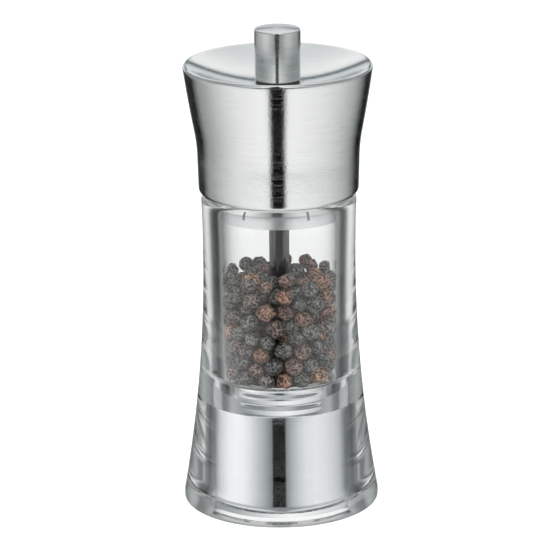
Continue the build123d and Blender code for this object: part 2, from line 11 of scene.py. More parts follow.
import bpy
import numpy as np
from mathutils import Matrix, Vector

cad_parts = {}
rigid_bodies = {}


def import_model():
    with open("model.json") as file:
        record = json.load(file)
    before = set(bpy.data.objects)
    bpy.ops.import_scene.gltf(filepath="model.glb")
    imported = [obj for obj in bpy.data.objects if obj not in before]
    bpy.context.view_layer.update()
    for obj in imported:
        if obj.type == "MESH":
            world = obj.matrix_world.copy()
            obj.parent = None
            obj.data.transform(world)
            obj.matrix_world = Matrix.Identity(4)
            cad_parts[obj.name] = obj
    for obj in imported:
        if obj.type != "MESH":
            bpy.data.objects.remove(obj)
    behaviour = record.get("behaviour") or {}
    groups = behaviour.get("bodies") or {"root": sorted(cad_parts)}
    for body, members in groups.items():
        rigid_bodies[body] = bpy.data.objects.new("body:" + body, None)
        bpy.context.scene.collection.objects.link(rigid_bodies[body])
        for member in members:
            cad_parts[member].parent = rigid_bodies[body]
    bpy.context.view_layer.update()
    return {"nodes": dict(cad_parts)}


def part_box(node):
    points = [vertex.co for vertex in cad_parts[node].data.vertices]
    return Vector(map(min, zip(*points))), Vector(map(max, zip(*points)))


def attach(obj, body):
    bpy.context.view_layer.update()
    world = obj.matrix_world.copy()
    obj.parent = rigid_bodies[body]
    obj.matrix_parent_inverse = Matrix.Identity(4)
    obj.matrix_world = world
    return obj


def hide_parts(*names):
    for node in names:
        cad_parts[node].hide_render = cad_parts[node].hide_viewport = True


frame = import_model()
NODES = frame["nodes"]
MM = 0.001


def span(node):
    """Radius, bottom and top of a turned node, in millimetres, from its box in the frame."""
    low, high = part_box(node)
    return high[0] / MM, low[2] / MM, high[2] / MM


print("nodes in the frame:", len(NODES))

# %% [markdown]
# ## Helpers for turned pieces
# Almost every piece of the mill was turned on a lathe, so one helper does most of the modelling. It
# takes a profile, a closed list of (radius, height) points in millimetres, and carries it around the
# axis. Blender's Spin tool could do the same by hand; a grid of numpy arrays gives the same surface
# with an exact count of steps, which keeps the reflections on steel and the bending of light in the
# clear body even.

# %% Turned surfaces
AROUND = 224
SHARP_EDGE = math.radians(32)


def mesh_piece(name, points, faces, has_edges=True):
    """Put an array of points (metres) and a list of faces into a new object at the origin."""
    mesh = bpy.data.meshes.new(name)
    mesh.from_pydata(points.reshape(-1, 3).tolist(), [], faces)
    mesh.validate()
    mesh.shade_smooth()
    if has_edges:
        mesh.set_sharp_from_angle(angle=SHARP_EDGE)
    piece = bpy.data.objects.new(name, mesh)
    bpy.context.scene.collection.objects.link(piece)
    return piece


def grid_faces(rows, columns, close_rows):
    """Quads between neighbours on a grid whose columns always close into a ring."""
    row = np.arange(rows if close_rows else rows - 1)[:, None]
    column = np.arange(columns)[None]
    next_row = (row + 1) % rows
    next_column = (column + 1) % columns
    corners = [
        row * columns + column,
        row * columns + next_column,
        next_row * columns + next_column,
        next_row * columns + column,
    ]
    return np.stack([np.broadcast_to(c, (row.size, columns)) for c in corners], axis=-1).reshape(-1, 4)


def turned(name, profile):
    """Each profile point (radius, height) becomes a ring: (r cos a, r sin a, z) for a full turn of a."""
    profile = np.asarray(profile, float) * MM
    angle = np.linspace(0, 2 * math.pi, AROUND, endpoint=False)
    radius = profile[:, :1]
    points = np.stack(
        [
            radius * np.cos(angle),
            radius * np.sin(angle),
            np.broadcast_to(profile[:, 1:], (len(profile), AROUND)),
        ],
        axis=-1,
    )
    return mesh_piece(name, points, grid_faces(len(profile), AROUND, True).tolist())


def arc(start, middle, end, count):
    """Points on the circle through three points, from start to end, both included."""
    a, b, c = (complex(*p) for p in (start, middle, end))
    w = (c - a) / (b - a)
    centre = (b - a) * (w - abs(w) ** 2) / (2j * w.imag) + a
    first = np.angle(a - centre)
    sweep = np.angle((c - centre) / (a - centre))
    through = np.angle((b - centre) / (a - centre))
    if sweep * through < 0 or abs(through) > abs(sweep):
        sweep -= math.copysign(2 * math.pi, sweep)
    turn = first + np.linspace(0, 1, count) * sweep
    around = centre + abs(a - centre) * np.exp(1j * turn)
    return np.column_stack([around.real, around.imag]).tolist()


def rounded(start, end, centre, count=9):
    """A short round from start to end about a centre."""
    radius = math.dist(start, centre)
    middle = (np.add(start, end) / 2) - centre
    return arc(start, tuple(np.add(centre, middle * radius / np.linalg.norm(middle))), end, count)


print("turned pieces have", AROUND, "steps around")

# %% [markdown]
# ## Helpers for finishes
# Each finish is a Principled BSDF. A small helper makes the material and sets its plain sockets, and a
# second one adds texture nodes, so that each finish below reads as a short list of what it is made of.
# Most finishes let a noise change their colour and gloss a little. A noise seldom leaves the middle of
# its range, so that is the part which is stretched.

# %% Material helpers
NOISE_LOW, NOISE_HIGH = 0.3, 0.7


def finish(name, **sockets):
    """A material whose Principled sockets are set by name, with underscores for spaces."""
    material = bpy.data.materials.new(name)
    material.use_nodes = True
    shader = material.node_tree.nodes["Principled BSDF"]
    for socket, value in sockets.items():
        socket = socket.replace("_", " ")
        if socket == "Base Color":
            value = (*value, 1.0)
        shader.inputs[socket].default_value = value
    return material


def add(material, kind, inputs=None, **settings):
    """Add a node, set its properties, and link or set its inputs by name or number."""
    tree = material.node_tree
    node = tree.nodes.new(kind)
    for key, value in settings.items():
        setattr(node, key, value)
    for key, value in (inputs or {}).items():
        if isinstance(value, bpy.types.NodeSocket):
            tree.links.new(value, node.inputs[key])
        else:
            node.inputs[key].default_value = value
    return node


def join(material, output, socket):
    """Link an output to a socket of the material's Principled BSDF."""
    shader = material.node_tree.nodes["Principled BSDF"]
    material.node_tree.links.new(output, shader.inputs[socket])


def ramp(material, value, stops):
    """A colour ramp over a value, from a list of (place, grey or colour)."""
    node = add(material, "ShaderNodeValToRGB", {0: value})
    while len(node.color_ramp.elements) < len(stops):
        node.color_ramp.elements.new(0.5)
    for element, (place, colour) in zip(node.color_ramp.elements, stops):
        element.position = place
        element.color = (*(colour if isinstance(colour, tuple) else (colour,) * 3), 1)
    return node.outputs[0]


def vary(material, noise, colour, shades, roughness, polish):
    """Let a noise carry colour and roughness from one multiple of each to another."""
    first, last = (tuple(min(1.0, c * k) for c in colour) for k in shades)
    join(material, ramp(material, noise, [(NOISE_LOW, first), (NOISE_HIGH, last)]), "Base Color")
    gloss = {0: noise, 1: NOISE_LOW, 2: NOISE_HIGH, 3: roughness * polish[0], 4: roughness * polish[1]}
    join(material, add(material, "ShaderNodeMapRange", gloss).outputs[0], "Roughness")


def wear(piece, material):
    """Give a piece one finish."""
    piece.data.materials.clear()
    piece.data.materials.append(material)


print("helpers for finishes are ready")

# %% [markdown]
# ## Brushed steel
# The head and the knob are brushed while they spin, so fine scratches run around the axis. Two things
# show that: light is smeared across the scratches, which an anisotropic reflection gives, and short
# bright and dark streaks lie along them. The streaks come from a noise that is stretched around the
# axis. Its third coordinate is height plus radius, so it keeps changing over the dished top as well.
# A second noise of shorter scratches tilts the surface a little and frays the edges of reflections.
# STREAKS and SCRATCHES say how often the two noises change in a metre around the axis. The second
# helper, for moulded and pressed pieces, is a mottled colour with a fine grain.

# %% Brushed steel
STREAKS, SCRATCHES = 160.0, 1500.0
SCRATCH_DEPTH = 0.00003
SPOT_DEPTH = 0.00006
FRAY = 12
DULL_FROM, DULLING = 0.48, 1.2
QUARTER_TURN = 0.25


def brushed(name, colour, roughness, lines, strength, smear=0.9):
    """Metal with streaks around Z: noise over (x, y) slowly and over height plus radius quickly."""
    material = finish(
        name,
        Base_Color=colour,
        Metallic=1.0,
        Roughness=roughness,
        Anisotropic=smear,
        Anisotropic_Rotation=QUARTER_TURN,
    )
    place = add(material, "ShaderNodeTexCoord").outputs["Object"]
    split = add(material, "ShaderNodeSeparateXYZ", {0: place}).outputs
    flat = add(material, "ShaderNodeCombineXYZ", {0: split[0], 1: split[1]}).outputs[0]
    radius = add(material, "ShaderNodeVectorMath", {0: flat}, operation="LENGTH").outputs["Value"]
    along = add(material, "ShaderNodeMath", {0: split[2], 1: radius}, operation="ADD").outputs[0]
    across = add(material, "ShaderNodeMath", {0: along, 1: lines}, operation="MULTIPLY").outputs[0]
    lift = add(material, "ShaderNodeCombineXYZ", {2: across}).outputs[0]
    grains = []
    for often in (STREAKS, SCRATCHES):
        spread = add(material, "ShaderNodeVectorMath", {0: flat, "Scale": often}, operation="SCALE")
        raised = {0: spread.outputs[0], 1: lift}
        grains.append(add(material, "ShaderNodeVectorMath", raised, operation="ADD").outputs[0])
    long_marks = {"Vector": grains[0], "Scale": 1.0, "Detail": 3.0, "Roughness": 0.6}
    streak = add(material, "ShaderNodeTexNoise", long_marks).outputs["Fac"]
    vary(material, streak, colour, (1 - strength, 1 + strength), roughness, (0.85, 1.15))
    dull = {0: streak, 1: DULL_FROM, 2: NOISE_HIGH, 3: 1.0, 4: 1.0 - DULLING * strength}
    join(material, add(material, "ShaderNodeMapRange", dull).outputs[0], "Metallic")
    short_marks = {"Vector": grains[1], "Scale": 1.0, "Detail": 1.0}
    grit = add(material, "ShaderNodeTexNoise", short_marks).outputs["Fac"]
    depth = {"Strength": min(1.0, FRAY * strength), "Distance": SCRATCH_DEPTH, "Height": grit}
    join(material, add(material, "ShaderNodeBump", depth).outputs[0], "Normal")
    tangent = add(material, "ShaderNodeTangent", direction_type="RADIAL", axis="Z")
    join(material, tangent.outputs[0], "Tangent")
    return material


def mottled(name, colour, roughness, size, strength, **sockets):
    """A colour that noise makes lighter and darker in spots of a given size (mm), with a fine grain."""
    material = finish(name, Base_Color=colour, Roughness=roughness, **sockets)
    place = add(material, "ShaderNodeTexCoord").outputs["Object"]
    spots = {"Vector": place, "Scale": 1 / (size * MM), "Detail": 4.0, "Roughness": 0.6}
    spot = add(material, "ShaderNodeTexNoise", spots).outputs["Fac"]
    vary(material, spot, colour, (1 - strength, 1 + strength), roughness, (0.85, 1.2))
    relief = add(material, "ShaderNodeBump", {"Strength": strength, "Distance": SPOT_DEPTH, "Height": spot})
    join(material, relief.outputs[0], "Normal")
    return material


head_steel = brushed("head_steel", (0.745, 0.755, 0.750), 0.09, 5200.0, 0.06)
knob_steel = brushed("knob_steel", (0.745, 0.755, 0.750), 0.15, 4000.0, 0.08, 1.0)
print("brushed steel:", head_steel.name, knob_steel.name)

# %% [markdown]
# ## The steel head
# The head is a spun shell with a straight neck, a flare that swells very slightly, a rounded lip and a
# dished top. The profile runs up the outside, over the lip, down the dish and back along the inside,
# so that the shell has a real wall and can be lifted off and looked into.

# %% Head shell
RIM_RADIUS, HEAD_BOTTOM, HEAD_TOP = span("head_shell")
HEAD_WALL = 1.8
HEAD_BORE = 21.1
FOOT_RADIUS, FOOT_ROUND = 22.9, 1.6
HEAD_NECK_RADIUS, HEAD_NECK_RISE = 23.15, 10.75
HEAD_BEND_RADIUS, HEAD_BEND_RISE = 23.95, 18.15
RIM_ROUND = 0.9
LAND_TOP = 124.6
LAND_RADIUS = 7.2
CENTRE_HOLE = 3.335


def bend_through(start, way, end, count):
    """An arc from start to end that sets off in a given direction, and the direction it ends in."""
    start, way, end = (np.asarray(v, float) for v in (start, way, end))
    chord = end - start
    normal = np.array([-way[1], way[0]]) / np.linalg.norm(way)
    radius = chord @ chord / (2 * chord @ normal)
    centre = start + normal * radius
    half = (start + end) / 2 - centre
    middle = centre + half * abs(radius) / np.linalg.norm(half)
    across = end - centre
    leave = np.array([-across[1], across[0]]) * math.copysign(1, radius)
    return arc(tuple(start), tuple(middle), tuple(end), count), leave


def dish(edge, land, count):
    """The dish is a cap of a ball whose centre is on the axis, from its edge down to the flat land."""
    centre = (edge[0] ** 2 + edge[1] ** 2 - land[0] ** 2 - land[1] ** 2) / (2 * (edge[1] - land[1]))
    radius = math.hypot(land[0], land[1] - centre)
    r = np.linspace(edge[0], land[0], count)
    return np.column_stack([r, centre - np.sqrt(radius**2 - r**2)]).tolist()


neck = (HEAD_NECK_RADIUS, HEAD_BOTTOM + HEAD_NECK_RISE)
bend = (HEAD_BEND_RADIUS, HEAD_BOTTOM + HEAD_BEND_RISE)
rim = (RIM_RADIUS, HEAD_TOP - RIM_ROUND)
crest = (RIM_RADIUS - RIM_ROUND, HEAD_TOP)
foot_side = (FOOT_RADIUS, HEAD_BOTTOM + FOOT_ROUND)
foot_end = (foot_side[0] - FOOT_ROUND, HEAD_BOTTOM)
lower_bend, leave = bend_through(neck, np.subtract(neck, foot_side), bend, count=14)
upper_bend, _ = bend_through(bend, leave, rim, count=22)
inner_rim = (crest[0] - HEAD_WALL, HEAD_TOP - 2 * HEAD_WALL)
head_profile = rounded(foot_end, foot_side, (foot_end[0], foot_side[1]))
head_profile += lower_bend + upper_bend[1:]
head_profile += rounded(rim, crest, (crest[0], rim[1]))[1:]
head_profile += dish(crest, (LAND_RADIUS, LAND_TOP), count=24)[1:]
head_profile += [(CENTRE_HOLE, LAND_TOP), (CENTRE_HOLE, LAND_TOP - HEAD_WALL)]
head_profile += dish(inner_rim, (LAND_RADIUS, LAND_TOP - HEAD_WALL), count=12)[::-1]
head_profile += [(HEAD_BORE, neck[1]), (HEAD_BORE, HEAD_BOTTOM)]
head_skin = turned("head_skin", head_profile)
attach(head_skin, "head")
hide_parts("head_shell")
wear(head_skin, head_steel)
print("head skin:", len(head_skin.data.polygons), "faces")

# %% [markdown]
# ## The knob
# A plain steel cylinder with a slightly domed top and a small round at its edge. The dome is what makes
# the front of the top face flash white while the rest stays grey. Under it is a thread, so it is hollow
# from below.

# %% Knob
KNOB_RADIUS, KNOB_BOTTOM, KNOB_TOP = span("adjusting_knob")
KNOB_ROUND = 0.45
KNOB_CHAMFER = 0.3
HOLE_RADIUS, HOLE_TOP = 4.02, 136.8
NEAR_AXIS = 0.02
DOME_RISE = 0.35
DOME_EDGE = KNOB_RADIUS - KNOB_ROUND
dome_radius = np.linspace(DOME_EDGE, NEAR_AXIS, 14)
dome = np.column_stack([dome_radius, KNOB_TOP - DOME_RISE * (dome_radius / DOME_EDGE) ** 2])
shoulder = (KNOB_RADIUS, dome[0][1] - KNOB_ROUND)
knob_profile = [(KNOB_RADIUS - KNOB_CHAMFER, KNOB_BOTTOM), (KNOB_RADIUS, KNOB_BOTTOM + KNOB_CHAMFER)]
knob_profile += rounded(shoulder, tuple(dome[0]), (DOME_EDGE, shoulder[1]), count=8)
knob_profile += dome[1:].tolist()
knob_profile += [(NEAR_AXIS, HOLE_TOP), (HOLE_RADIUS, HOLE_TOP), (HOLE_RADIUS, KNOB_BOTTOM)]
knob_skin = turned("knob_skin", knob_profile)
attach(knob_skin, "knob")
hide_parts("adjusting_knob")
wear(knob_skin, knob_steel)
print("knob skin:", len(knob_skin.data.polygons), "faces")

# %% [markdown]
# ## The clear body
# The body is one thick piece of clear plastic. What the eye reads as clear is mostly bent light, so the
# shape of the inner walls matters as much as the outside: a chamber with a rounded floor above, a
# pocket for the grinder below and a solid web between them. The outside is one long arc, narrowest at
# the waist. The finish is a clear shader with the refraction of acrylic and the faint ripple that
# moulding leaves.

# %% Clear body
BASE_RADIUS, _, BODY_TOP = span("clear_body")
BASE_ROUND = 0.9
FOOT_HEIGHT = 2.4
WAIST = (21.9, 74.0)
TOP_ROUND = 2.0
LIP_CHAMFER = 0.5
FLARE_STEP = BASE_RADIUS - WAIST[0]
FLARE_RISE = WAIST[1] - FOOT_HEIGHT
FLARE_RADIUS = (FLARE_RISE**2 + FLARE_STEP**2) / (2 * FLARE_STEP)
CHAMBER_RADIUS = 16.8
CHAMBER_FLOOR = 37.5
FLOOR_ROUND = 1.6
POCKET_RADIUS = 20.575
POCKET_TOP = 31.0
THROAT_RADIUS = 13.0

edge_height = BODY_TOP - TOP_ROUND
edge_radius = WAIST[0] + FLARE_RADIUS - math.sqrt(FLARE_RADIUS**2 - (edge_height - WAIST[1]) ** 2)
base_edge = BASE_RADIUS - BASE_ROUND
body_profile = rounded((base_edge, 0), (BASE_RADIUS, BASE_ROUND), (base_edge, BASE_ROUND))
body_profile += arc((BASE_RADIUS, FOOT_HEIGHT), WAIST, (edge_radius, edge_height), count=56)
edge_top = (edge_radius - TOP_ROUND, BODY_TOP)
body_profile += rounded((edge_radius, edge_height), edge_top, (edge_top[0], edge_height))[1:]
body_profile += [(CHAMBER_RADIUS + LIP_CHAMFER, BODY_TOP), (CHAMBER_RADIUS, BODY_TOP - LIP_CHAMFER)]
wall_end = (CHAMBER_RADIUS, CHAMBER_FLOOR + FLOOR_ROUND)
floor_end = (CHAMBER_RADIUS - FLOOR_ROUND, CHAMBER_FLOOR)
body_profile += rounded(wall_end, floor_end, (floor_end[0], wall_end[1]))
body_profile += [(THROAT_RADIUS, CHAMBER_FLOOR), (THROAT_RADIUS, POCKET_TOP)]
body_profile += [(POCKET_RADIUS, POCKET_TOP), (POCKET_RADIUS, 0)]
body_skin = turned("clear_skin", body_profile)
clear_acrylic = finish(
    "clear_acrylic", Base_Color=(0.985, 0.99, 0.99), Roughness=0.0, IOR=1.49, Transmission_Weight=1.0
)
place = add(clear_acrylic, "ShaderNodeTexCoord").outputs["Object"]
waves = {"Vector": place, "Scale": 120.0, "Detail": 2.0}
flow = add(clear_acrylic, "ShaderNodeTexNoise", waves).outputs["Fac"]
polish = add(clear_acrylic, "ShaderNodeMapRange", {0: flow, 1: 0.35, 2: 0.65, 3: 0.0, 4: 0.012})
join(clear_acrylic, polish.outputs[0], "Roughness")
ripple = add(clear_acrylic, "ShaderNodeBump", {"Strength": 0.03, "Distance": 0.00005, "Height": flow})
join(clear_acrylic, ripple.outputs[0], "Normal")
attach(body_skin, "mill_body")
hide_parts("clear_body")
wear(body_skin, clear_acrylic)
print("clear body:", len(body_skin.data.polygons), "faces")

# %% [markdown]
# ## The bright sleeve
# A thin polished cup in the base, with a neck that lines the throat. It is almost a mirror: the same
# turned finish as the head, polished until only a trace of the streaks is left. The studio around the
# mill does the rest.

# %% Sleeve
SLEEVE_RADIUS, SLEEVE_BOTTOM, _ = span("chrome_sleeve")
SLEEVE_WALL = 0.6
SLEEVE_GAP, NECK_GAP = 0.06, 0.02
SLEEVE_TOP = POCKET_TOP - SLEEVE_GAP
NECK_RADIUS = THROAT_RADIUS - NECK_GAP
BEADS, BEAD_STEPS = 2, 14
BEAD_DEPTH = 0.35
neck_rise = np.linspace(0, 1, BEAD_STEPS * BEADS + 1)
neck_wave = NECK_RADIUS - BEAD_DEPTH * np.sin(neck_rise * BEADS * math.pi) ** 2
neck_height = SLEEVE_TOP + neck_rise * (CHAMBER_FLOOR - SLEEVE_TOP)
sleeve_profile = [
    (SLEEVE_RADIUS - SLEEVE_WALL, SLEEVE_BOTTOM),
    (SLEEVE_RADIUS, SLEEVE_BOTTOM),
    (SLEEVE_RADIUS, SLEEVE_TOP),
    *np.column_stack([neck_wave, neck_height]).tolist(),
    (NECK_RADIUS - SLEEVE_WALL, CHAMBER_FLOOR),
    (NECK_RADIUS - SLEEVE_WALL, POCKET_TOP - SLEEVE_WALL),
    (SLEEVE_RADIUS - SLEEVE_WALL, POCKET_TOP - SLEEVE_WALL),
]
sleeve_skin = turned("sleeve_skin", sleeve_profile)
sleeve_chrome = brushed("sleeve_chrome", (0.86, 0.87, 0.88), 0.05, 1800.0, 0.012, 0.3)
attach(sleeve_skin, "mill_body")
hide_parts("chrome_sleeve")
wear(sleeve_skin, sleeve_chrome)
print("sleeve:", len(sleeve_skin.data.polygons), "faces")

# %% [markdown]
# ## The peppercorns
# Each peppercorn lies where the frame has a ball. The balls are separate solids, so their triangles
# come one ball after another and the vertex numbers jump at each new ball; that finds the balls without
# a search. Every ball then becomes a lumpy, wrinkled corn: a globe whose radius is pushed in and out by
# a few waves in directions of its own, and by a second set of waves that are folded over where they
# would cross nought, which leaves the crests of the wrinkles. The finest net of wrinkles is left to the
# finish. The corns are a little larger than the balls, so that they settle against each other, and are
# held inside the wall of the chamber.

# %% Peppercorns
MERIDIANS, PARALLELS = 20, 12
WAVES, WAVE_PITCH, LUMP = 6, 4.2, 0.2
CRESTS, CREST_PITCH, CREST = 4, 3.4, 0.16
OVAL = 0.05
CORN_SEED = 5
CORN_GROWTH = 1.07
CORN_GAP = 0.05
CORN_REACH = CHAMBER_RADIUS - CORN_GAP
CORN_FLOOR = CHAMBER_FLOOR + CORN_GAP


def balls(node):
    """Centre and radius of each ball in a node, from runs of triangles that share vertices."""
    mesh = NODES[node].data
    points = np.empty(len(mesh.vertices) * 3)
    mesh.vertices.foreach_get("co", points)
    points = points.reshape(-1, 3)
    corners = np.empty(len(mesh.loops), dtype=int)
    mesh.loops.foreach_get("vertex_index", corners)
    triangles = corners.reshape(-1, 3)
    reach = np.maximum.accumulate(triangles.max(axis=1))
    start = np.flatnonzero(triangles.min(axis=1)[1:] > reach[:-1]) + 1
    first = np.concatenate([[0], triangles.min(axis=1)[start]])
    low = np.minimum.reduceat(points, first)
    high = np.maximum.reduceat(points, first)
    return (low + high) / 2, (high - low).max(axis=1) / 2


def corn_points(centres, radii, rng):
    """Globe points (cos t cos p, cos t sin p, sin t), pushed by waves and folded waves, then turned."""
    count = len(radii)
    lean = np.linspace(-math.pi / 2, math.pi / 2, PARALLELS + 1)[1:-1, None]
    turn = np.linspace(0, 2 * math.pi, MERIDIANS, endpoint=False)[None]
    across = np.cos(lean)
    rings = np.stack([across * np.cos(turn), across * np.sin(turn), np.sin(lean) + 0 * turn], axis=-1)
    globe = np.concatenate([rings.reshape(-1, 3), [[0, 0, -1], [0, 0, 1]]])
    axes = np.linalg.qr(rng.normal(size=(count, 3, 3)))[0]
    axes[:, :, 0] *= np.sign(np.linalg.det(axes))[:, None]
    waves = rng.normal(size=(count, WAVES, 3)) * WAVE_PITCH
    phase = rng.uniform(0, 2 * math.pi, (count, WAVES, 1))
    bumps = np.sin(waves @ globe.T + phase).mean(axis=1)
    stretch = 1 + rng.uniform(-OVAL, OVAL, (count, 1, 3))
    folded = rng.normal(size=(count, CRESTS, 3)) * CREST_PITCH
    offset = rng.uniform(0, 2 * math.pi, (count, CRESTS, 1))
    crests = 1 - np.abs(np.sin(folded @ globe.T + offset)).mean(axis=1)
    shape = globe[None] * (1 + LUMP * bumps + CREST * crests)[:, :, None] * stretch
    points = np.einsum("nij,nkj->nki", axes, shape)
    size = np.linalg.norm(points, axis=2).max(axis=1)
    points = centres[:, None] + points * (radii / size * CORN_GROWTH)[:, None, None]
    from_axis = np.linalg.norm(points[:, :, :2], axis=2, keepdims=True)
    points[:, :, :2] *= np.minimum(1, CORN_REACH * MM / from_axis)
    points[:, :, 2] = np.maximum(points[:, :, 2], CORN_FLOOR * MM)
    return points


def corn_faces(count):
    """Quads between the parallels of each globe and a fan of triangles at each pole."""
    rows = PARALLELS - 1
    quads = grid_faces(rows, MERIDIANS, False)
    column = np.arange(MERIDIANS)
    after = (column + 1) % MERIDIANS
    south = np.column_stack([after, column, np.full(MERIDIANS, rows * MERIDIANS)])
    top = (rows - 1) * MERIDIANS
    north = np.column_stack([top + column, top + after, np.full(MERIDIANS, rows * MERIDIANS + 1)])
    shift = np.arange(count)[:, None, None] * (rows * MERIDIANS + 2)
    faces = (quads[None] + shift).reshape(-1, 4).tolist()
    return faces + (np.concatenate([south, north])[None] + shift).reshape(-1, 3).tolist()


corn_rng = np.random.default_rng(CORN_SEED)
corn_centres, corn_radii = balls("peppercorns")
corn_shape = corn_points(corn_centres, corn_radii, corn_rng)
corn_skins = mesh_piece("corn_skins", corn_shape, corn_faces(len(corn_radii)), has_edges=False)
tone = np.repeat(corn_rng.uniform(0, 1, len(corn_radii)), corn_shape.shape[1])
corn_skins.data.attributes.new("corn_tone", "FLOAT", "POINT").data.foreach_set("value", tone)
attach(corn_skins, "mill_body")
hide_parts("peppercorns")
print("peppercorns:", len(corn_radii), "mean width mm", round(float(corn_radii.mean()) * 2000, 2))

# %% [markdown]
# ## The finish of the peppercorns
# A dried corn carries a net of pale ridges over dark folds. Ridged noise gives the net: it is folded over
# wherever it would cross nought, which leaves sharp crests. The crests are painted many times lighter than
# the folds. Part of that is the corn's own paler skin, and part is a painted highlight on the crests and
# painted shade in the folds. A finer noise makes the crests lighter or darker at random. Colour goes from
# charcoal and grey through red-brown to a few orange ones, by a number that each corn carries.

# %% Peppercorn finish
# Lightness of folds and crests: the corn's own tone, with painted shade in the folds and a painted
# highlight on the crests.
RIDGE_FROM, RIDGE_TO = 0.95, 2.5
FOLD_TONE_AND_SHADE, CREST_TONE_AND_HIGHLIGHT = 1.1, 18.0
WRINKLE_DEPTH = 0.0004
corn_finish = finish("peppercorn", Roughness=0.55, Specular_IOR_Level=0.35)
place = add(corn_finish, "ShaderNodeTexCoord").outputs["Object"]
folds = {"Vector": place, "Scale": 980.0, "Detail": 2.0, "Roughness": 0.6, "Offset": 1.0, "Gain": 1.8}
net = add(corn_finish, "ShaderNodeTexNoise", folds, noise_type="RIDGED_MULTIFRACTAL", normalize=False)
ridge = add(corn_finish, "ShaderNodeMapRange", {0: net.outputs["Fac"], 1: RIDGE_FROM, 2: RIDGE_TO})
dust = add(corn_finish, "ShaderNodeTexNoise", {"Vector": place, "Scale": 1700.0, "Detail": 3.0})
dusty = add(corn_finish, "ShaderNodeMapRange", {0: dust.outputs["Fac"], 1: 0.35, 2: 0.65, 3: 0.5, 4: 1.3})
pale = add(corn_finish, "ShaderNodeMath", {0: ridge.outputs[0], 1: dusty.outputs[0]}, operation="MULTIPLY")
tone_of = add(corn_finish, "ShaderNodeAttribute", attribute_name="corn_tone")
CORN_HUES = [
    (0.0, (0.050, 0.050, 0.047)),
    (0.45, (0.070, 0.068, 0.062)),
    (0.65, (0.080, 0.061, 0.056)),
    (0.82, (0.096, 0.060, 0.048)),
    (0.94, (0.118, 0.070, 0.050)),
    (1.0, (0.150, 0.090, 0.058)),
]
hue = ramp(corn_finish, tone_of.outputs["Fac"], CORN_HUES)
# Dark folds and light crests: own tone plus painted shade in the folds and a painted highlight on the
# crests.
lightness = add(corn_finish, "ShaderNodeMapRange", {0: pale.outputs[0], 3: FOLD_TONE_AND_SHADE, 4: CREST_TONE_AND_HIGHLIGHT})
shade = add(corn_finish, "ShaderNodeVectorMath", {0: hue, "Scale": lightness.outputs[0]}, operation="SCALE")
join(corn_finish, shade.outputs[0], "Base Color")
depth = {"Strength": 0.9, "Distance": WRINKLE_DEPTH, "Height": ridge.outputs[0]}
join(corn_finish, add(corn_finish, "ShaderNodeBump", depth).outputs[0], "Normal")
wear(corn_skins, corn_finish)
print("peppercorn finish has", len(corn_finish.node_tree.nodes), "nodes")

# %% [markdown]
# ## The drive shaft
# An eight-sided bar with softened corners, which catch thin lines of light, and a round threaded end
# for the knob. The bar is a section carried straight up. The thread is a real screw: its radius at a
# height and an angle depends on how far along the pitch that point is.

# %% Shaft
SHAFT_FLATS = 5.7
SHAFT_SIDES = 8
CORNER_ROUND, CORNER_STEPS = 0.55, 5
_, SHAFT_BOTTOM, THREAD_TOP = span("drive_shaft")
SHAFT_SHOULDER = 124.1
THREAD_RADIUS = 2.5
THREAD_DEPTH = 0.45
THREAD_PITCH = 0.8
THREAD_CREST, THREAD_FLANK = 1.3, 3.2
THREAD_SUNK = 0.3
THREAD_AROUND, THREAD_STEPS = 48, 10
DRAWN_GRAIN = (3000.0, 3000.0, 90.0)


def softened_section(flats, sides, corner, steps):
    """A regular section with round corners: each corner is an arc about a centre set in from it."""
    inset = (flats / 2 - corner) / math.cos(math.pi / sides)
    start = (np.arange(sides) + 0.5) * 2 * math.pi / sides
    swing = np.linspace(-math.pi / sides, math.pi / sides, steps)
    angle = start[:, None] + swing[None]
    x = inset * np.cos(start)[:, None] + corner * np.cos(angle)
    y = inset * np.sin(start)[:, None] + corner * np.sin(angle)
    return np.column_stack([x.ravel(), y.ravel()])


def capped(name, rings):
    """A tube through rings of points (millimetres), closed by a face at each end."""
    rows, columns = rings.shape[:2]
    faces = grid_faces(rows, columns, False).tolist()
    faces.append(list(range(columns))[::-1])
    faces.append([(rows - 1) * columns + i for i in range(columns)])
    return mesh_piece(name, rings * MM, faces)


def thread_rings(shoulder, top):
    """Rings (r cos a, r sin a, z): r is largest where z over the pitch is half a turn ahead of a."""
    rise = np.arange(shoulder - THREAD_SUNK, top, THREAD_PITCH / THREAD_STEPS)[:, None]
    turn = np.linspace(0, 2 * math.pi, THREAD_AROUND, endpoint=False)[None]
    phase = (rise / THREAD_PITCH - turn / (2 * math.pi)) % 1.0
    ridge = np.clip(THREAD_CREST - np.abs(phase - 0.5) * THREAD_FLANK, 0, 1)
    fade = np.clip((top - rise) / THREAD_PITCH, 0, 1) * np.clip((rise - shoulder) / THREAD_PITCH, 0, 1)
    radius = THREAD_RADIUS - THREAD_DEPTH * (1 - ridge * fade)
    return np.stack([radius * np.cos(turn), radius * np.sin(turn), rise + 0 * turn], axis=-1)


def drawn(name, colour, roughness):
    """Metal pulled through a die: noise that changes quickly over x and y and slowly along Z."""
    material = finish(name, Base_Color=colour, Metallic=1.0, Roughness=roughness)
    place = add(material, "ShaderNodeTexCoord").outputs["Object"]
    stretch = {0: place, 1: DRAWN_GRAIN}
    where = add(material, "ShaderNodeVectorMath", stretch, operation="MULTIPLY").outputs[0]
    long_marks = {"Vector": where, "Scale": 1.0, "Detail": 2.0}
    line = add(material, "ShaderNodeTexNoise", long_marks).outputs["Fac"]
    vary(material, line, colour, (0.86, 1.12), roughness, (0.8, 1.25))
    return material


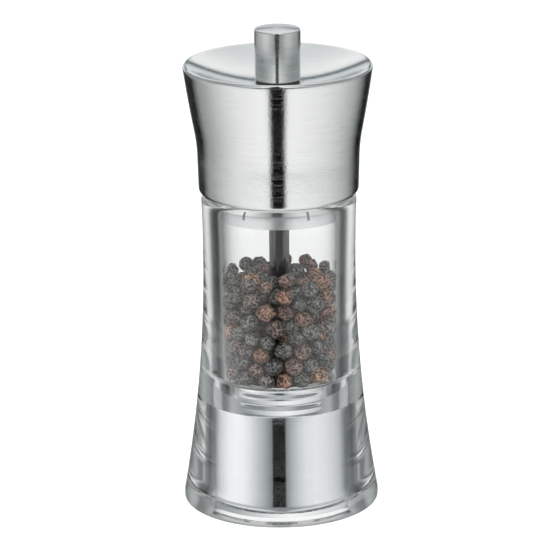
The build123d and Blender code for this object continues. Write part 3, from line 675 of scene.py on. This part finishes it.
section = softened_section(SHAFT_FLATS, SHAFT_SIDES, CORNER_ROUND, CORNER_STEPS)
ends = (SHAFT_BOTTOM, SHAFT_SHOULDER)
bar = np.stack([np.column_stack([section, np.full(len(section), height)]) for height in ends])
shaft_skin = capped("shaft_skin", bar)
thread_skin = capped("thread_skin", thread_rings(SHAFT_SHOULDER, THREAD_TOP))
shaft_steel = drawn("shaft_steel", (0.19, 0.187, 0.183), 0.14)
for piece in (shaft_skin, thread_skin):
    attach(piece, "spindle")
    wear(piece, shaft_steel)
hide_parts("drive_shaft")
print("shaft:", len(shaft_skin.data.polygons), "faces, thread:", len(thread_skin.data.polygons))

# %% [markdown]
# ## The other pieces
# The core of the head, the glide ring and the grinder keep their CAD shape. Moulded and pressed pieces
# share the mottled finish, and the core is pearly as well. Turned and stamped metal takes the streaks
# of the head, and wire takes those of the shaft.

# %% Finishes of the CAD pieces
pearl = {"Metallic": 0.8, "Coat_Weight": 0.3}
core_plastic = mottled("core_plastic", (0.87, 0.885, 0.885), 0.16, 2.5, 0.03, **pearl)
ring_plastic = mottled("ring_plastic", (0.82, 0.82, 0.80), 0.40, 1.5, 0.04)
housing_plastic = mottled("housing_plastic", (0.78, 0.78, 0.76), 0.38, 1.5, 0.05)
ceramic = mottled("ceramic", (0.84, 0.82, 0.77), 0.45, 0.6, 0.08)
# The washer under the knob is near black. That is partly dark fibre and partly painted shade for the shadow
# line under the knob.
knob_fibre = mottled("knob_fibre", (0.025, 0.025, 0.025), 0.70, 0.4, 0.40)
bush_bronze = brushed("bush_bronze", (0.55, 0.40, 0.20), 0.30, 2400.0, 0.12)
insert_brass = brushed("insert_brass", (0.72, 0.55, 0.26), 0.28, 2400.0, 0.10)
washer_steel = brushed("washer_steel", (0.60, 0.60, 0.61), 0.30, 2000.0, 0.10)
screw_steel = brushed("screw_steel", (0.46, 0.46, 0.48), 0.30, 2600.0, 0.12)
plate_steel = brushed("plate_steel", (0.62, 0.63, 0.64), 0.28, 2200.0, 0.09)
spring_steel = drawn("spring_steel", (0.52, 0.52, 0.53), 0.22)
CAD_FINISHES = {
    "head_core": core_plastic,
    "glide_ring": ring_plastic,
    "grinder_housing": housing_plastic,
    "grinder_rotor": ceramic,
    "grinder_stator": ceramic,
    "shaft_bush": bush_bronze,
    "knob_insert": insert_brass,
    "grinder_spring": spring_steel,
    "shaft_clip": spring_steel,
    "thrust_washer": washer_steel,
    "rotor_washer": washer_steel,
    "rotor_screw": screw_steel,
    "plate_screws": screw_steel,
    "retaining_plate": plate_steel,
    "knob_washer": knob_fibre,
}
for node, material in CAD_FINISHES.items():
    wear(NODES[node], material)
print("finishes on CAD pieces:", len(CAD_FINISHES))

# %% [markdown]
# ## The studio
# Polished metal and clear plastic show mostly what stands around them. In a product studio that is a
# black gap in front, where the camera looks in, wide bright sides that fall off towards the back, dark
# flags behind on both sides, and a white ground straight behind. Here the world carries that pattern
# for mirrored and bent rays only. Seen directly it is plain white, and a surface that scatters light
# gets a soft daylight. Each list goes around the mill: degrees from the front, with the right side
# positive, and brightness.

# %% Patterns around the mill


def both_sides(stops):
    """Repeat stops from 0 to 180 degrees on the left side, as negative degrees."""
    return [(-degrees, value) for degrees, value in reversed(stops) if degrees] + stops


MIRRORED_LOW = [
    (-172, 0.6),
    (-162, 0.03),
    (-136, 0.0),
    (-129, 0.14),
    (-119, 0.36),
    (-108, 0.44),
    (-77, 0.8),
    (-55, 1.0),
    (-25, 1.12),
    (-16, 1.1),
    (-12.5, 0.9),
    (-10.5, 0.1),
    (-8.5, 0.0),
    (7.5, 0.0),
    (9, 0.25),
    (11, 0.95),
    (15, 1.1),
    (25, 1.12),
    (55, 1.0),
    (77, 0.86),
    (90, 0.74),
    (108, 0.55),
    (119, 0.42),
    (129, 0.24),
    (138, 0.06),
    (146, 0.0),
    (162, 0.03),
    (172, 0.6),
]
MIRRORED_LEVEL = [
    (-172, 0.6),
    (-163, 0.05),
    (-148, 0.05),
    (-125, 0.34),
    (-87, 0.66),
    (-60, 0.86),
    (-46, 0.72),
    (-33, 0.62),
    (-18, 0.55),
    (-12, 0.02),
    (6, 0.02),
    (12, 0.5),
    (36, 0.56),
    (49, 0.56),
    (70, 0.5),
    (115, 0.33),
    (122, 0.16),
    (148, 0.05),
    (163, 0.05),
    (172, 0.6),
]
MIRRORED_GAP = both_sides(
    [(0, 0.03), (22, 0.05), (40, 0.55), (60, 0.75), (90, 0.5), (140, 0.45), (157, 1.0)]
)
MIRRORED_HIGH = [
    (-157, 1.0),
    (-142, 0.45),
    (-82, 0.42),
    (-57, 0.56),
    (-30, 0.9),
    (-14, 1.25),
    (-10, 0.02),
    (4, 0.02),
    (7, 1.15),
    (30, 0.82),
    (57, 0.54),
    (82, 0.42),
    (142, 0.45),
    (157, 1.0),
]
LEFT_BEHIND = [
    (106, 0.42),
    (114, 0.18),
    (122, 0.24),
    (127, 0.08),
    (132, 0.0),
    (144, 0.0),
    (151, 0.14),
    (158, 0.5),
    (166, 0.82),
    (172, 0.97),
]
RIGHT_BEHIND = [
    (106, 0.45),
    (114, 0.2),
    (122, 0.26),
    (127, 0.14),
    (132, 0.04),
    (140, 0.04),
    (147, 0.2),
    (153, 0.55),
    (162, 0.87),
    (170, 0.97),
]


def flagged(front):
    """Put the dark flags that stand behind, left and right, on either side of the stops in front."""
    return [(-degrees, value) for degrees, value in reversed(LEFT_BEHIND)] + front + RIGHT_BEHIND


WALLS = flagged(both_sides([(0, 0.3), (15, 0.3), (35, 0.5), (60, 0.6), (92, 0.5)]))
BENT_LEVEL = flagged(both_sides([(0, 0.22), (6, 0.26), (16, 0.7), (30, 1.0), (60, 1.0), (92, 0.75)]))
BENT_HIGH = both_sides(
    [
        (0, 0.6),
        (20, 0.5),
        (40, 0.26),
        (75, 0.22),
        (98, 0.4),
        (118, 0.4),
        (133, 0.2),
        (147, 0.16),
        (160, 0.42),
        (175, 0.45),
    ]
)
BENT_TOP = [
    (-170, 0.45),
    (-150, 0.16),
    (-128, 0.28),
    (-90, 0.42),
    (-75, 0.48),
    (-45, 0.7),
    (-15, 0.95),
    (15, 1.15),
    (45, 1.0),
    (75, 0.85),
    (98, 0.75),
    (128, 0.4),
    (150, 0.3),
    (170, 0.45),
]
SLEEVE = [
    (-172, 0.7),
    (-164, 0.38),
    (-156, 0.12),
    (-135, 0.04),
    (-122, 0.22),
    (-108, 0.74),
    (-90, 1.03),
    (-76, 1.1),
    (-62, 1.05),
    (-50, 0.9),
    (-39, 0.69),
    (-26, 0.47),
    (-14, 0.22),
    (-12.5, 0.0),
    (6.5, 0.0),
    (8, 0.28),
    (17, 0.51),
    (28, 0.73),
    (39, 0.88),
    (55, 0.94),
    (73, 0.88),
    (91, 0.73),
    (102, 0.58),
    (116, 0.2),
    (135, 0.05),
    (156, 0.12),
    (164, 0.38),
    (172, 0.7),
]
print("longest pattern has", max(map(len, (MIRRORED_LOW, WALLS, SLEEVE))), "stops")

# %% [markdown]
# The patterns change with height, which goes from minus one straight down to one straight up. Mirrored
# rays meet four bands: low, level, a gap with a wide dark front, and high. From the horizon up their
# brightness also follows the height, with one dark line that the dished top mirrors. Bent rays leave
# the sleeve steeply, the walls less steeply and the edges of the body level or upwards, so they have
# five bands. Straight below is the white table. Light for surfaces that scatter it comes from above
# and from both sides of the front. Each pair of heights below says where one band fades into the next.

# %% Studio helpers
OVERHEAD = [
    (0.0, 0.9),
    (0.19, 0.75),
    (0.225, 0.5),
    (0.245, 0.34),
    (0.257, 0.1),
    (0.28, 0.1),
    (0.305, 0.5),
    (0.35, 1.0),
    (0.45, 1.06),
    (0.75, 0.84),
    (0.93, 0.9),
    (1.0, 1.3),
]
LOW_ENDS = (-0.3, -0.25)
LEVEL_ENDS = (-0.15, -0.09)
GAP_ENDS = (0.3, 0.42)
BENT_BANDS = [
    ((-0.447, -0.437), WALLS),
    ((-0.36, -0.24), BENT_LEVEL),
    ((-0.14, -0.06), BENT_HIGH),
    ((0.38, 0.46), BENT_TOP),
]
TABLE_ENDS = (-0.9, -0.78)
TABLE_WHITE = (0.92, 0.92, 0.92, 1)
DAYLIGHT = [(0.0, 0.22), (0.4, 0.4), (0.56, 0.9), (1.0, 1.2)]
DAY_SIDES = both_sides([(0, 0.3), (12, 0.6), (30, 2.2), (48, 2.2), (75, 1.0), (120, 0.4), (180, 0.3)])


def compass(owner, direction):
    """The share of a full turn, 0.5 at the front and rising to the right, and the height of a direction."""
    split = add(owner, "ShaderNodeSeparateXYZ", {0: direction})
    ahead = add(owner, "ShaderNodeMath", {0: split.outputs[1], 1: -1.0}, operation="MULTIPLY")
    angle = add(owner, "ShaderNodeMath", {0: split.outputs[0], 1: ahead.outputs[0]}, operation="ARCTAN2")
    turn = {0: angle.outputs[0], 1: 1 / (2 * math.pi), 2: 0.5}
    share = add(owner, "ShaderNodeMath", turn, operation="MULTIPLY_ADD")
    return share.outputs[0], split.outputs[2]


def cool(value):
    """A grey with a slightly blue cast, which fades towards white."""
    return (value * (0.92 + 0.08 * min(value, 1.0)), value, value)


def sky_blue(value):
    """A bluer grey for what comes from above; it fades towards white as well."""
    pale = min(value, 1.0)
    return (value * (0.7 + 0.3 * pale), value * (0.9 + 0.1 * pale), value)


def around(owner, share, stops):
    """Brightness on a pattern, looked up by the share of a full turn."""
    return ramp(owner, share, [(degrees / 360 + 0.5, cool(value)) for degrees, value in stops])


def mix(owner, share, first, second, blend="MIX"):
    """Blend two colours by a share."""
    inputs = {0: share, 6: first, 7: second}
    return add(owner, "ShaderNodeMix", inputs, data_type="RGBA", blend_type=blend).outputs[2]


def step(owner, value, ends):
    """Nought before the first end, one after the second, and a smooth rise between."""
    rise = {0: value, 1: ends[0], 2: ends[1]}
    return add(owner, "ShaderNodeMapRange", rise, interpolation_type="SMOOTHSTEP").outputs[0]


def changed(owner, path):
    """One where a ray was mirrored or bent on its way and not scattered, and nought elsewhere."""
    glossy, bent = path.outputs["Is Glossy Ray"], path.outputs["Is Transmission Ray"]
    either = add(owner, "ShaderNodeMath", {0: glossy, 1: bent}, operation="MAXIMUM").outputs[0]
    kept = add(owner, "ShaderNodeMath", {0: path.outputs["Diffuse Depth"], 1: 0.5}, operation="LESS_THAN")
    return add(owner, "ShaderNodeMath", {0: either, 1: kept.outputs[0]}, operation="MULTIPLY").outputs[0]


print("stops from the horizon up:", len(OVERHEAD))

# %% [markdown]
# The world puts the bands together, one over the other, and then picks by the kind of ray: white for
# the camera, daylight after scattering, and the studio's pattern for mirrored and bent rays.

# %% World
WHITE = (1, 1, 1, 1)
sky = bpy.data.worlds.new("studio")
bpy.context.scene.world = sky
sky.use_nodes = True
sky_share, height = compass(sky, add(sky, "ShaderNodeTexCoord").outputs["Generated"])
sky_path = add(sky, "ShaderNodeLightPath")
gap = around(sky, sky_share, MIRRORED_GAP)
high = mix(sky, step(sky, height, GAP_ENDS), gap, around(sky, sky_share, MIRRORED_HIGH))
overhead = ramp(sky, height, [(rise, sky_blue(value)) for rise, value in OVERHEAD])
high = mix(sky, 1.0, high, overhead, "MULTIPLY")
low = around(sky, sky_share, MIRRORED_LOW)
mirrored = mix(sky, step(sky, height, LOW_ENDS), low, around(sky, sky_share, MIRRORED_LEVEL))
mirrored = mix(sky, step(sky, height, LEVEL_ENDS), mirrored, high)
bent = around(sky, sky_share, SLEEVE)
for ends, pattern in BENT_BANDS:
    bent = mix(sky, step(sky, height, ends), bent, around(sky, sky_share, pattern))
tent = mix(sky, sky_path.outputs["Is Transmission Ray"], mirrored, bent)
tent = mix(sky, step(sky, height, TABLE_ENDS), TABLE_WHITE, tent)
rise = add(sky, "ShaderNodeMath", {0: height, 1: 0.5, 2: 0.5}, operation="MULTIPLY_ADD").outputs[0]
day = mix(sky, 1.0, ramp(sky, rise, DAYLIGHT), around(sky, sky_share, DAY_SIDES), "MULTIPLY")
plain = mix(sky, changed(sky, sky_path), day, tent)
shown = mix(sky, sky_path.outputs["Is Camera Ray"], plain, WHITE)
sky.node_tree.links.new(shown, sky.node_tree.nodes["Background"].inputs["Color"])
print("studio world has", len(sky.node_tree.nodes), "nodes")

# %% [markdown]
# The floor is a wide disc. To the camera it is white, with a little of its own light so that it blends
# into the white behind, and the rest from the studio, so that the mill still leaves a soft shadow.
# Mirrored and bent rays pass it by and meet the studio's pattern.

# %% Floor
FLOOR_RADIUS, FLOOR_STEPS = 4.0, 96
edge = np.linspace(0, 2 * math.pi, FLOOR_STEPS, endpoint=False)
disc = FLOOR_RADIUS * np.column_stack([np.cos(edge), np.sin(edge), 0 * edge])
floor = mesh_piece("floor", disc, [list(range(FLOOR_STEPS))])
floor.visible_glossy = False
floor.visible_transmission = False
floor_paint = finish(
    "floor_paint",
    Base_Color=(0.45, 0.45, 0.45),
    Roughness=1.0,
    Specular_IOR_Level=0.0,
    Emission_Strength=0.68,
    Emission_Color=WHITE,
)
wear(floor, floor_paint)
print("floor radius m", FLOOR_RADIUS)

# %% [markdown]
# Two large soft lamps stand left and right of the camera and one hangs above. They give the milky and
# dark pieces some shape, which the sky alone would not.

# %% Lamps
LAMP_AIM = (0.0, 0.0, 0.07)
LAMPS = [
    ("left_softbox", (-0.9, -0.55, 0.7), 0.9, 6.0),
    ("right_softbox", (0.9, -0.6, 0.6), 0.8, 5.0),
    ("top_softbox", (0.0, 0.1, 1.2), 0.9, 6.0),
]
for name, at, size, watts in LAMPS:
    lamp = bpy.data.lights.new(name, "AREA")
    lamp.energy = watts
    lamp.size = size
    stand = bpy.data.objects.new(name, lamp)
    bpy.context.scene.collection.objects.link(stand)
    aim = np.subtract(LAMP_AIM, at)
    stand.visible_glossy = False
    stand.visible_transmission = False
    stand.location = at
    stand.rotation_euler = (
        math.acos(-aim[2] / np.linalg.norm(aim)),
        0,
        math.atan2(aim[1], aim[0]) - math.pi / 2,
    )
print("lamps:", len(LAMPS))

# %% [markdown]
# ## The camera
# The view is a long lens from the front and a little above, so the upright lines stay almost parallel.
# Light runs around inside the clear wall for many turns before it leaves, so rays may bounce often.

# %% Camera
CAMERA_AT = (0.0, -0.95805, 0.36180)
CAMERA_PITCH = 0.2975
CAMERA_ROLL = -0.0090
LENS, SENSOR = 231.2, 36.0
SIDE_SHIFT = -0.0147
NEAREST = 0.05
BOUNCES = 96
camera = bpy.data.objects.new("camera", bpy.data.cameras.new("camera"))
bpy.context.scene.collection.objects.link(camera)
camera.location = CAMERA_AT
tilt = Matrix.Rotation(math.pi / 2 - CAMERA_PITCH, 3, "X") @ Matrix.Rotation(CAMERA_ROLL, 3, "Z")
camera.rotation_euler = tilt.to_euler()
camera.data.lens = LENS
camera.data.sensor_width = SENSOR
camera.data.shift_x = SIDE_SHIFT
camera.data.clip_start = NEAREST
bpy.context.scene.camera = camera
bpy.context.scene.view_settings.view_transform = "Standard"
bpy.context.scene.cycles.max_bounces = BOUNCES
bpy.context.scene.cycles.glossy_bounces = BOUNCES
bpy.context.scene.cycles.transmission_bounces = BOUNCES
print("camera at", CAMERA_AT)
